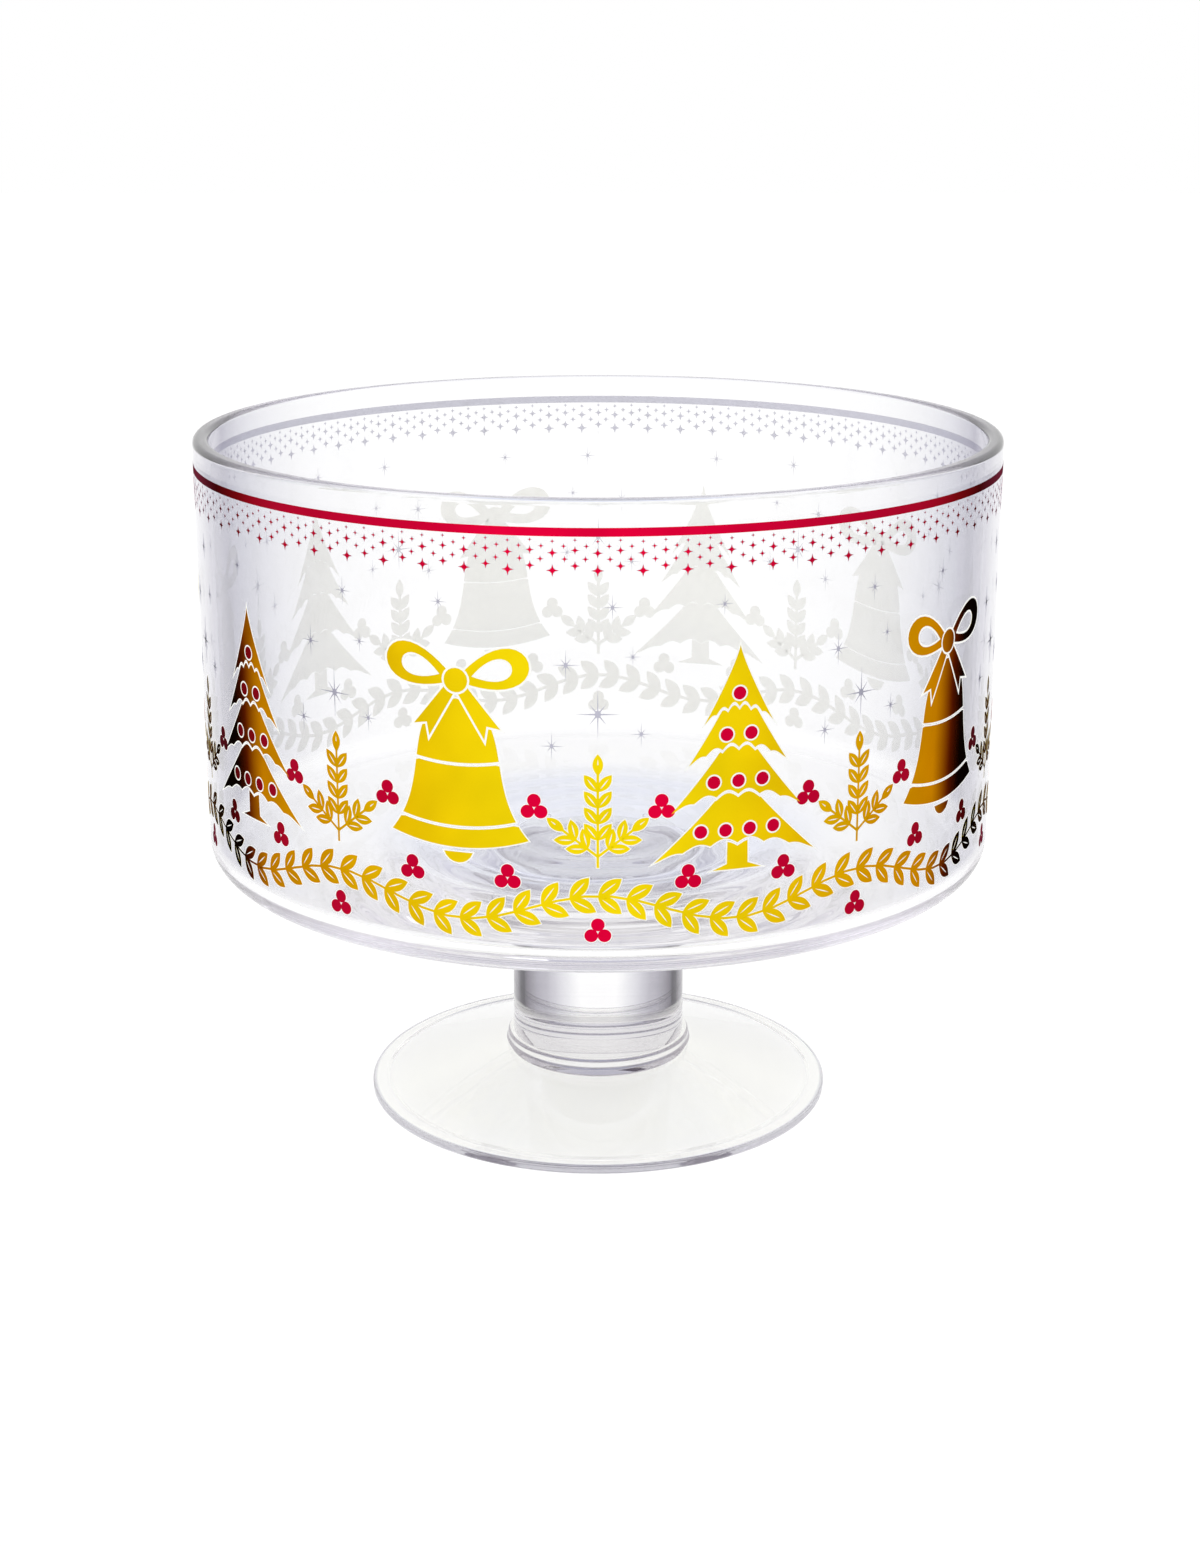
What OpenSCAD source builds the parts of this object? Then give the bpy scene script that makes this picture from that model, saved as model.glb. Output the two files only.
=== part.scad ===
// Footed glass bowl: a straight-sided vessel on a solid stem and a round foot,
// with red, gold and silver decoration laid on the outside of its wall.
// Origin: centre of the foot's underside, where the bowl rests. +Z is up, the front is -Y.

/* [Bowl] */
// Diameter over the outside of the wall
bowl_d = 210; // [190:1:230]
// Depth from the rim to the outer edge of the underside
bowl_h = 114; // [112:1:130]
// Thickness of the wall
wall_t = 4.2; // [3.2:0.1:5.5]
// Thickness of the floor at the wall
floor_t = 4.2; // [3.4:0.1:6]
// Radius between wall and underside, outside
base_round_r = 7; // [5:0.5:10]
// Radius between wall and floor, inside
floor_round_r = 4; // [2:0.5:7]
// Radius on both edges of the rim
rim_round_r = 1; // [0.4:0.1:1.4]
// Slope of the underside beside the wall, in degrees
base_slope = 3.2; // [1:0.1:4]
// Slope of the underside where it starts to round into the stem, in degrees
boss_slope = 9; // [6:0.5:12]
// Radius of the rounding between the underside and the stem
boss_round_r = 18; // [10:0.5:24]

/* [Stem] */
// Diameter of the solid stem
stem_d = 47.2; // [40:0.2:50]
// Length of the straight stem between bowl and foot
stem_h = 30.2; // [24:0.1:45]

/* [Foot] */
// Diameter of the foot
foot_d = 126.6; // [112:0.2:140]
// Height of the foot at its collar
foot_h = 15.5; // [13:0.5:19]
// Thickness of the foot's edge
foot_edge_t = 2.4; // [2:0.1:4]
// Diameter of the collar round the stem's lower end
collar_d = 50.4; // [50:0.2:62]
// Height of the collar
collar_h = 2.4; // [1.6:0.1:3.6]
// Width of the flat border inside the foot's edge
foot_border_w = 4.6; // [3:0.2:7]
// Rounding of the foot's edge
foot_round_r = 0.8; // [0.4:0.1:1]
// Width of the flat ring that the foot rests on
rest_ring_w = 5; // [4:0.5:9]
// Rise of the hollow under the foot
hollow_h = 8.5; // [2:0.1:9]

/* [Rim band] */
// Height of the red band
band_h = 2; // [1:0.1:3]
// Distance from the rim down to the red band
band_drop = 6.3; // [4:0.1:8]

/* [Star border] */
// Distance from the rim down to the lowest row of border stars
border_drop = 16; // [15.5:0.1:18]
// Distance round the wall from one group of border stars to the next
border_pitch = 10.2; // [9.5:0.1:14]
// Point-to-point size of the largest border star
border_star = 2.7; // [2:0.1:3.2]

/* [Figures] */
// Fir trees round the wall, with a bell between each two
tree_count = 5; // [4:1:5]
// Height of the trees' feet over the underside's outer edge, as a share of the bowl's depth
tree_rise_share = 0.23; // [0.21:0.01:0.26]
// Height of a fir tree, as a share of the bowl's depth
tree_h_share = 0.47; // [0.4:0.01:0.49]
// Width of a fir tree at its lowest boughs
tree_w = 40; // [32:1:44]
// Height of the bells' mouths over the underside's outer edge, as a share of the bowl's depth
bell_rise_share = 0.3; // [0.27:0.01:0.32]
// Height of a bell from its mouth to its crown, as a share of the bowl's depth
bell_h_share = 0.29; // [0.24:0.01:0.3]
// Width of a bell at its mouth
bell_w = 34; // [26:1:38]
// Width of the bow over a bell
bow_w = 36; // [28:1:40]
// Clear line left between the parts of a figure
line_w = 0.8; // [0.5:0.1:1.2]

/* [Garland] */
// Height of the garland's lowest points over the underside's outer edge, as a share of the
// bowl's depth
garland_rise_share = 0.125; // [0.115:0.005:0.14]
// Height of the garland's crests over its lowest points, as a share of the bowl's depth
garland_swing_share = 0.06; // [0.03:0.005:0.075]
// Leaf pairs in the garland from one figure to the next
leaf_pairs = 10; // [7:1:11]
// Length of a leaf
leaf_l = 7; // [5:0.1:8]
// Width of a leaf
leaf_w = 3.3; // [2:0.1:4]
// Width of the garland's twig
twig_w = 0.6; // [0.4:0.1:1]
// Diameter of a berry
berry_d = 3.2; // [2:0.1:3.4]

/* [Sprigs] */
// Height of the sprigs that grow from the garland's crests, as a share of the bowl's depth
sprig_h_share = 0.24; // [0.18:0.01:0.26]
// Length of a sprig's side twigs
side_twig_l = 15; // [10:0.5:16]

/* [Silver stars] */
// Point-to-point height of the largest silver star
spark_h = 12; // [8:0.5:13]

/* [Hidden] */

$fn = 96;
// Side count of circles in the flat figures
figure_fn = 32;
// Overrun of every cut
over = 1;
// Thickness of a decoration layer
foil_t = 0.12;

bowl_r = bowl_d / 2;
inner_r = bowl_r - wall_t;
stem_r = stem_d / 2;
foot_r = foot_d / 2;
collar_r = collar_d / 2;
collar_round_r = min(collar_h / 2, collar_r - stem_r);

// The underside is two arcs that meet without a corner: a wide one beside the wall and the
// rounding into the stem.
base_edge_r = bowl_r - base_round_r;
boss_edge_r = stem_r + boss_round_r * (1 - sin(boss_slope));
base_arc_r = (base_edge_r - boss_edge_r) / (sin(boss_slope) - sin(base_slope));
base_fall = base_arc_r * (cos(base_slope) - cos(boss_slope));
boss_fall = boss_round_r * cos(boss_slope);

boss_z = foot_h + stem_h;
base_z = boss_z + boss_fall + base_fall;
rim_z = base_z + bowl_h;

figure_count = 2 * tree_count;
figure_step = 360 / figure_count;
tree_rise = tree_rise_share * bowl_h;
tree_h = tree_h_share * bowl_h;
bell_rise = bell_rise_share * bowl_h;
bell_h = bell_h_share * bowl_h;
garland_rise = garland_rise_share * bowl_h;
garland_swing = garland_swing_share * bowl_h;
sprig_h = sprig_h_share * bowl_h;

// Corner of a square outside a circle, for rounding a section. sx and sy, each 1 or -1, say on
// which side of the circle's centre the corner lies.
module corner_waste(r, sx, sy) {
    difference() {
        translate([sx > 0 ? 0 : -r - over, sy > 0 ? 0 : -r - over]) square(r + over);
        circle(r);
    }
}

// Space under the bowl between its underside, the stem and the edge of its base.
module base_waste() {
    intersection() {
        translate([base_edge_r + base_arc_r * sin(base_slope), base_z - base_arc_r * cos(base_slope)])
            circle(base_arc_r, $fn = 1440);
        translate([boss_edge_r, boss_z - over]) square([base_edge_r - boss_edge_r, base_z]);
    }
    intersection() {
        translate([stem_r + boss_round_r, boss_z]) circle(boss_round_r);
        translate([stem_r, boss_z - over]) square([boss_edge_r - stem_r, base_z]);
    }
    translate([base_edge_r, boss_z - over]) square([bowl_r, base_z - boss_z + over]);
}

module bowl_section() {
    difference() {
        translate([0, boss_z]) square([bowl_r, rim_z - boss_z]);
        base_waste();
        difference() {
            translate([-over, base_z + floor_t]) square([inner_r + over, bowl_h]);
            translate([inner_r - floor_round_r, base_z + floor_t + floor_round_r])
                corner_waste(floor_round_r, 1, -1);
        }
        translate([bowl_r - base_round_r, base_z + base_round_r]) corner_waste(base_round_r, 1, -1);
        translate([bowl_r - rim_round_r, rim_z - rim_round_r]) corner_waste(rim_round_r, 1, 1);
        translate([inner_r + rim_round_r, rim_z - rim_round_r]) corner_waste(rim_round_r, -1, 1);
    }
}

module bowl() {
    color([0.93, 0.94, 0.96, 0.45]) rotate_extrude() bowl_section();
}

module stem() {
    color([0.86, 0.87, 0.91, 0.7]) translate([0, 0, foot_h]) cylinder(h = stem_h, r = stem_r);
}

// Section of the foot: a cone from the collar down to the flat border, hollowed underneath.
module foot_section() {
    slope_r = foot_r - foot_border_w;
    rest_r = foot_r - rest_ring_w;
    difference() {
        union() {
            square([foot_r, foot_edge_t]);
            polygon([[0, 0], [slope_r, 0], [slope_r, foot_edge_t], [collar_r, foot_h - collar_h],
                     [0, foot_h - collar_h]]);
            translate([0, foot_h - collar_h]) square([collar_r, collar_h]);
        }
        polygon([[-over, -over], [rest_r, -over], [rest_r, 0], [collar_r, hollow_h],
                 [-over, hollow_h]]);
        translate([foot_r - foot_round_r, foot_edge_t - foot_round_r])
            corner_waste(foot_round_r, 1, 1);
        translate([foot_r - foot_round_r, foot_round_r]) corner_waste(foot_round_r, 1, -1);
        translate([collar_r - collar_round_r, foot_h - collar_round_r])
            corner_waste(collar_round_r, 1, 1);
    }
}

module foot() {
    color([0.9, 0.91, 0.94, 0.6]) rotate_extrude() foot_section();
}

// Thin sleeve on the wall, from height low to height high.
module wall_skin(low, high) {
    rotate_extrude() translate([bowl_r, low]) square([foil_t, high - low]);
}

// Puts a flat shape on the wall as a small plate, turn degrees round from the front.
module on_wall(turn, z) {
    rotate([0, 0, turn]) translate([0, -bowl_r, z]) rotate([90, 0, 0])
        linear_extrude(foil_t) children();
}

// Bends a wide flat shape round the wall: it is pushed out through the skin and cut to it.
module round_wall(turn, z, width) {
    sink = bowl_r - sqrt(bowl_r * bowl_r - width * width / 4) + over;
    rotate([0, 0, turn]) translate([0, -bowl_r + sink, z]) rotate([90, 0, 0])
        linear_extrude(sink + over) children();
}

module red_rim_band() {
    color("#c4122b") wall_skin(rim_z - band_drop - band_h, rim_z - band_drop);
}

// Star with the given number of points. Its even points reach size / 2 and its odd ones a
// share of that.
module star_shape(size, points, waist_share, odd_share = 1) {
    polygon([for (i = [0 : 2 * points - 1])
        let (r = size / 2 * (i % 2 == 1 ? waist_share : i % 4 == 0 ? 1 : odd_share))
        [r * sin(i * 180 / points), r * cos(i * 180 / points)]]);
}

// One group of border stars: place across, height and size, as shares of the pitch, of the
// border's height and of the largest star.
border_group_shares = [[0, 0, 1], [0.5, 0.16, 0.72], [0, 0.52, 0.58]];
border_count = round(2 * PI * bowl_r / border_pitch);
border_h = border_drop - band_drop - band_h;
border_star_points = 4;
border_waist_share = 0.34;

module red_star_border() {
    color("#c4122b") for (i = [0 : border_count - 1], s = border_group_shares)
        on_wall((i + s[0]) * 360 / border_count, rim_z - border_drop + s[1] * border_h)
            star_shape(s[2] * border_star, border_star_points, border_waist_share);
}

// Fir tree, with its foot at the origin. Each row of boughs has a hem of hanging tips.
bough_rows = 4;
bough_tips = 6;
bough_foot_shares = [0.12, 0.34, 0.55, 0.73];
bough_width_shares = [1, 0.8, 0.6, 0.42];
bough_droop_share = 0.07;
bough_tip_share = 0.025;
bough_reach_share = 0.34;
trunk_width_share = 0.13;
trunk_foot_share = 0.3;
bough_side_points = 8;
bough_side_bend = 1.2;
bauble_share = 0.058;
bauble_lift_share = 0.06;
bauble_step_share = 0.15;
bauble_r = bauble_share * tree_h / 2;

function hem_points(row, drop = 0) =
    let (half = tree_w * bough_width_shares[row] / 2, n = 2 * bough_tips)
    [for (i = [0 : n])
        let (s = 2 * i / n - 1)
        [s * half, tree_h * (bough_foot_shares[row] - bough_droop_share * s * s
            + (i % 2) * bough_tip_share * (1 - s * s)) - drop]];

function side_points(row) =
    let (half = tree_w * bough_width_shares[row] / 2,
         low = tree_h * (bough_foot_shares[row] - bough_droop_share),
         high = min(tree_h, tree_h * (bough_foot_shares[row] + bough_reach_share)))
    [for (i = [1 : bough_side_points - 1])
        let (t = i / bough_side_points)
        [half * pow(1 - t, bough_side_bend), low + (high - low) * t]];

module bough(row) {
    side = side_points(row);
    high = min(tree_h, tree_h * (bough_foot_shares[row] + bough_reach_share));
    polygon(concat(hem_points(row), side, [[0, high]],
        [for (i = [len(side) - 1 : -1 : 0]) [-side[i][0], side[i][1]]]));
}

module above_hem(row) {
    hem = hem_points(row, line_w);
    last = hem[len(hem) - 1];
    polygon(concat(hem, [[last[0], tree_h + over], [-last[0], tree_h + over]]));
}

function bauble_places(row) =
    let (n = bough_rows - row)
    [for (i = [0 : n - 1])
        [(i - (n - 1) / 2) * bauble_step_share * tree_w,
         tree_h * (bough_foot_shares[row] + bauble_lift_share)]];

module tree_shape() {
    difference() {
        for (row = [0 : bough_rows - 1]) difference() {
            bough(row);
            if (row + 1 < bough_rows) above_hem(row + 1);
        }
        for (row = [0 : bough_rows - 1], p = bauble_places(row))
            translate(p) circle(bauble_r + line_w / 2, $fn = figure_fn);
    }
    difference() {
        polygon([[-trunk_foot_share * tree_w / 2, 0], [trunk_foot_share * tree_w / 2, 0],
                 [trunk_width_share * tree_w / 2, tree_h * bough_tip_share],
                 [trunk_width_share * tree_w / 2, tree_h * bough_foot_shares[0] + over],
                 [-trunk_width_share * tree_w / 2, tree_h * bough_foot_shares[0] + over],
                 [-trunk_width_share * tree_w / 2, tree_h * bough_tip_share]]);
        above_hem(0);
    }
}

module gold_fir_trees() {
    color("#d8a800") intersection() {
        wall_skin(base_z + tree_rise - over, base_z + tree_rise + tree_h + over);
        for (i = [0 : tree_count - 1])
            round_wall((2 * i + 0.5) * figure_step, base_z + tree_rise, tree_w) tree_shape();
    }
}

// Bell, with the middle of its mouth at the origin, and its bow.
bell_steps = 20;
clapper_share = 0.11;
lip_share = 0.16;
belt_share = 0.62;
bow_loop_share = 0.5;
bow_loop_w_share = 0.52;
bow_hole_share = 0.55;
bow_tilt = 16;
tail_tilt = -55;
drop_swell = 1.3;
tail_l_share = 0.42;
tail_w_share = 0.13;
knot_share = 0.16;
mouth_arc_r = 1.6 * bell_w;
mouth_sag = mouth_arc_r - sqrt(mouth_arc_r * mouth_arc_r - bell_w * bell_w / 4);

// Half width of the bell at height share t, as a share of its width.
function bell_half_share(t) = 0.2 * pow(1 - t, 4) + 0.3 * sqrt(1 - pow(t, 5));

module mouth_arc(y, w) {
    translate([0, y + mouth_arc_r]) difference() {
        circle(mouth_arc_r);
        circle(mouth_arc_r - w);
    }
}

module bell_shape() {
    right = [for (i = [0 : bell_steps])
        let (t = i / bell_steps) [bell_w * bell_half_share(t), bell_h * t]];
    difference() {
        union() {
            polygon(concat(right, [for (i = [bell_steps - 1 : -1 : 0]) [-right[i][0], right[i][1]]]));
            intersection() {
                translate([0, mouth_arc_r - mouth_sag]) circle(mouth_arc_r);
                translate([-bell_w / 2, -mouth_sag]) square([bell_w, mouth_sag + over]);
            }
        }
        mouth_arc(lip_share * bell_h - mouth_sag, line_w);
        mouth_arc(belt_share * bell_h - mouth_sag, line_w);
    }
    difference() {
        translate([0, -mouth_sag]) circle(clapper_share * bell_w, $fn = figure_fn);
        translate([0, mouth_arc_r - mouth_sag - line_w]) circle(mouth_arc_r);
    }
}

// Drop shape from a point at the origin to a round end at x = l.
module drop_shape(l, w) {
    polygon([for (a = [0 : 15 : 345]) [l * (1 - cos(a)) / 2, w / 2 * drop_swell * sin(a) * sin(a / 2)]]);
}

module bow_shape() {
    loop_l = bow_loop_share * bow_w;
    loop_w = bow_loop_w_share * loop_l;
    for (side = [0, 1]) mirror([side, 0]) {
        difference() {
            rotate(bow_tilt) difference() {
                drop_shape(loop_l, loop_w);
                translate([loop_l * (1 - bow_hole_share) / 2, 0])
                    drop_shape(loop_l * bow_hole_share, loop_w * bow_hole_share);
            }
            circle(knot_share * bow_w / 2 + line_w, $fn = figure_fn);
        }
        difference() {
            rotate(tail_tilt) polygon([[0, -tail_w_share * bow_w / 4], [tail_l_share * bow_w,
                -tail_w_share * bow_w / 2], [(tail_l_share - tail_w_share / 2) * bow_w, 0],
                [tail_l_share * bow_w, tail_w_share * bow_w / 2], [0, tail_w_share * bow_w / 4]]);
            circle(knot_share * bow_w / 2 + line_w, $fn = figure_fn);
        }
    }
    circle(knot_share * bow_w / 2, $fn = figure_fn);
}

// The bow's knot sits over the bell's crown, and its tails hang in front of the bell.
bow_lift_share = 0.12;
bow_z = bell_h + bow_lift_share * bow_w;

module bow_clearance() {
    for (side = [0, 1]) mirror([side, 0]) translate([0, bow_z]) rotate(tail_tilt)
        translate([0, -tail_w_share * bow_w / 2 - line_w])
            square([tail_l_share * bow_w + line_w, tail_w_share * bow_w + 2 * line_w]);
    translate([0, bow_z]) circle(knot_share * bow_w / 2 + line_w, $fn = figure_fn);
}

module gold_bells() {
    color("#d8a800") intersection() {
        wall_skin(base_z + bell_rise - bell_h, base_z + bell_rise + bell_h + bow_w);
        for (i = [0 : tree_count - 1])
            round_wall((2 * i + 1.5) * figure_step, base_z + bell_rise, max(bell_w, bow_w)) {
                difference() {
                    bell_shape();
                    bow_clearance();
                }
                translate([0, bow_z]) bow_shape();
            }
    }
}

// Garland: a wavy twig all round the wall, low under each figure, with leaves in pairs.
leaf_angle = 38;
function garland_z(a) =
    base_z + garland_rise
    + garland_swing * (1 - cos(figure_count * a - 180)) / 2;
function garland_slope(a) =
    atan(garland_swing / 2 * figure_count * sin(figure_count * a - 180) / bowl_r);
garland_step = figure_step / leaf_pairs;
twig_l = 2 * PI * bowl_r / figure_count / leaf_pairs;

// Pointed leaf from the origin to x = l, between two arcs.
module leaf_shape(l, w) {
    leaf_arc_r = (l * l + w * w) / (4 * w);
    intersection_for(side = [-1, 1])
        translate([l / 2, side * (leaf_arc_r - w / 2)]) circle(leaf_arc_r);
}

module leaf_pair(l, w) {
    for (side = [-1, 1]) rotate(side * leaf_angle) leaf_shape(l, w);
}

module gold_garland() {
    color("#d8a800") for (i = [0 : figure_count * leaf_pairs - 1]) {
        a = i * garland_step;
        tilt = garland_slope(a);
        on_wall(a, garland_z(a)) rotate(tilt) {
            translate([-twig_l / 2, -twig_w / 2]) square([twig_l, twig_w]);
            leaf_pair(leaf_l, leaf_w);
        }
    }
}

// Sprigs: a leafy twig stands on each crest of the garland, with a side twig to the left and
// to the right of it.
sprig_leaf_share = 0.74;
sprig_pairs = 4;
sprig_bare_share = 0.3;
side_twig_pairs = 2;
side_twig_angle = 52;
side_twig_foot_share = 0.1;
sprig_foot = garland_z(0) + leaf_l;

// Twig that runs up from the origin, with pairs of leaves and one leaf at its tip.
module leafy_twig(l, pairs, bare_share) {
    leaf = sprig_leaf_share * leaf_l;
    width = sprig_leaf_share * leaf_w;
    translate([-twig_w / 2, 0]) square([twig_w, l - leaf / 2]);
    rotate(90) {
        for (i = [0 : pairs - 1])
            translate([(bare_share + (1 - bare_share) * i / pairs) * (l - leaf), 0])
                leaf_pair(leaf, width);
        translate([l - leaf, 0]) leaf_shape(leaf, width);
    }
}

module sprig_shape() {
    leafy_twig(sprig_h, sprig_pairs, sprig_bare_share);
    for (side = [-1, 1])
        translate([0, side_twig_foot_share * sprig_h]) rotate(side * side_twig_angle)
            leafy_twig(side_twig_l, side_twig_pairs, sprig_bare_share);
}

module gold_sprigs() {
    color("#d8a800") intersection() {
        wall_skin(base_z + garland_rise, base_z + bowl_h);
        for (i = [0 : figure_count - 1])
            round_wall(i * figure_step, sprig_foot, 2 * side_twig_l) sprig_shape();
    }
}

// Berries sit in threes beside the garland and at the tips of the sprigs' side twigs, and single
// baubles in the trees. Clusters: place round from a crest, as a share of the step, and side of
// the twig.
cluster_places = [[0, -1], [-0.32, 1], [0.32, 1]];
cluster_gap = 0.12;
cluster_lift_share = 1.25;
tip_reach = side_twig_l + 1.15 * berry_d;

module berry_cluster() {
    for (k = [0 : 2]) rotate(120 * k)
        translate([0, (1 + cluster_gap) * berry_d / 2]) circle(berry_d / 2, $fn = figure_fn);
}

module red_berries() {
    color("#b00c22") {
        for (i = [0 : figure_count - 1], p = cluster_places) {
            a = (i + p[0]) * figure_step;
            on_wall(a, garland_z(a) + p[1] * cluster_lift_share * leaf_l) berry_cluster();
        }
        for (i = [0 : figure_count - 1], side = [-1, 1])
            on_wall(i * figure_step + side * asin(tip_reach * sin(side_twig_angle) / bowl_r),
                sprig_foot + side_twig_foot_share * sprig_h + tip_reach * cos(side_twig_angle))
                berry_cluster();
        for (i = [0 : tree_count - 1], row = [0 : bough_rows - 1], p = bauble_places(row))
            on_wall((2 * i + 0.5) * figure_step + asin(p[0] / bowl_r),
                base_z + tree_rise + p[1]) circle(bauble_r, $fn = figure_fn);
    }
}

// Silver stars in each space between two figures: place across, height and size, as shares of
// the step, of the height up to the star border and of the largest star.
spark_shares = [[0.05, 0.94, 0.5], [0, 0.68, 1], [-0.11, 0.8, 0.62], [0.15, 0.63, 0.5],
                [-0.16, 0.6, 0.56], [0.12, 0.82, 0.4], [0.44, 0.94, 0.45]];
spark_side_share = 0.55;
spark_points = 8;
spark_waist_share = 0.13;
spark_width_share = 0.8;

module silver_stars() {
    color("#a9a8b4") for (i = [0 : figure_count - 1], s = spark_shares)
        on_wall((i + s[0]) * figure_step, base_z + s[1] * (bowl_h - border_drop - border_star))
            scale([spark_width_share, 1])
                star_shape(s[2] * spark_h, spark_points, spark_waist_share, spark_side_share);
}

foot();
stem();
bowl();
red_rim_band();
red_star_border();
gold_fir_trees();
gold_bells();
gold_garland();
gold_sprigs();
red_berries();
silver_stars();
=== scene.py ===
"""Looks for a footed glass bowl with fired red, gold and silver decoration, built round its
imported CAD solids."""
import math

import bmesh
import bpy
from mathutils import Matrix, Vector


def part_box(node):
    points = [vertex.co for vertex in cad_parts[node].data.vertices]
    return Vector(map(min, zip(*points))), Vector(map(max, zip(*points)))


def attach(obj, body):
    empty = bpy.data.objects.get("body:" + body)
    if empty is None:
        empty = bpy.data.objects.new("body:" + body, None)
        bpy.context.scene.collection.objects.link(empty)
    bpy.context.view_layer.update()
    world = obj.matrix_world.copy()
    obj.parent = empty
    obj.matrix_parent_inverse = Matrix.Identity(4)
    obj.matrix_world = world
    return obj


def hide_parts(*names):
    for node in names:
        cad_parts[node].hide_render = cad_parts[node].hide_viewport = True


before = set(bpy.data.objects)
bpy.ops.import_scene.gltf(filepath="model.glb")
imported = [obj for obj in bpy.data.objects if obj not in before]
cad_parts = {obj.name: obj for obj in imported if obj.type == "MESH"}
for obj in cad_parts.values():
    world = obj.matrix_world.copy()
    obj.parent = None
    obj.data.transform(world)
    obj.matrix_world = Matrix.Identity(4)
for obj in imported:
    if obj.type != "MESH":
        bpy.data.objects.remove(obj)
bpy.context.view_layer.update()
MM = 0.001

# Foot

# The foot is a pressed disc of clear soda-lime glass: a cone falls from a collar to a flat
# border, and the underside is hollowed so that it rests on a ring. It is fused to the stem.
foot_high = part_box("foot")[1]
foot_r = foot_high.x
foot_h = foot_high.z
foot_edge_t = 2.4 * MM
foot_border_w = 4.6 * MM
foot_hollow_h = 8.5 * MM
foot_hollow_r = 24 * MM
rest_ring_w = 5 * MM
collar_r = 25.2 * MM
collar_h = 2.4 * MM
joint_overlap = 0.03 * MM
weld_gap = 0.001 * MM
support_gap = 0.2 * MM
long_side = 5 * support_gap
crease_angle = math.radians(30)
turn_steps = 256
arc_step = 2.5 * MM
arc_turn = math.radians(6)
# Painted shade: the foot's edges darken where the glass turns away from the view, and a thin grey
# ring of it lies round the foot's rim.
FOOT_EDGE_SHADE_TONES = [(0.55, "#f6f6f2"), (0.71, "#e9e9e8"), (0.9, "#e0e0e3"), (1, "#8f919f")]
FOOT_RIM_SHADE_HEX = "#c3c3cf"
GLASS_DEPTH = "#dcd8de"
GLASS_SHADE = "#fdfdfd"
glass_ior = 1.52
depth_density = 3.5
wave_l = 30 * MM
wave_h = 0.3 * MM
foot_wave = 0.1
ripple_pitch = 11 * MM
ripple_bend = 1.5
ripple_bend_scale = 0.6
wave_node_turn = 20
fade_below = 1 * MM
fade_above = 2 * MM
pale_edge_share = 0.17
no_zone = (1, 2, "#ffffff")


def linear(hex_code):
    """Turns an sRGB hex code to a linear colour."""
    parts = [int(hex_code[i:i + 2], 16) / 255 for i in (1, 3, 5)]
    return [p / 12.92 if p <= 0.04045 else ((p + 0.055) / 1.055) ** 2.4 for p in parts] + [1]


def add_node(material, kind, settings=None, inputs=None, links=None):
    """Adds a node with its settings and input values, and links sockets of other nodes to it."""
    tree = material.node_tree
    new = tree.nodes.new(kind)
    for key, value in (settings or {}).items():
        setattr(new, key, value)
    for key, value in (inputs or {}).items():
        new.inputs[key].default_value = value
    for key, (other, socket) in (links or {}).items():
        tree.links.new(other.outputs[socket], new.inputs[key])
    return new


def set_tones(ramp, tones):
    """Gives a colour ramp its stops. A tone is (place on the ramp, hex code)."""
    while len(ramp.color_ramp.elements) < len(tones):
        ramp.color_ramp.elements.new(1)
    for stop, (position, hex_code) in zip(ramp.color_ramp.elements, tones):
        stop.position = position
        stop.color = linear(hex_code)


def new_material(name):
    """Starts a material with nothing but its output."""
    made = bpy.data.materials.new(name)
    made.use_nodes = True
    made.node_tree.nodes.clear()
    return made, add_node(made, "ShaderNodeOutputMaterial")


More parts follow.
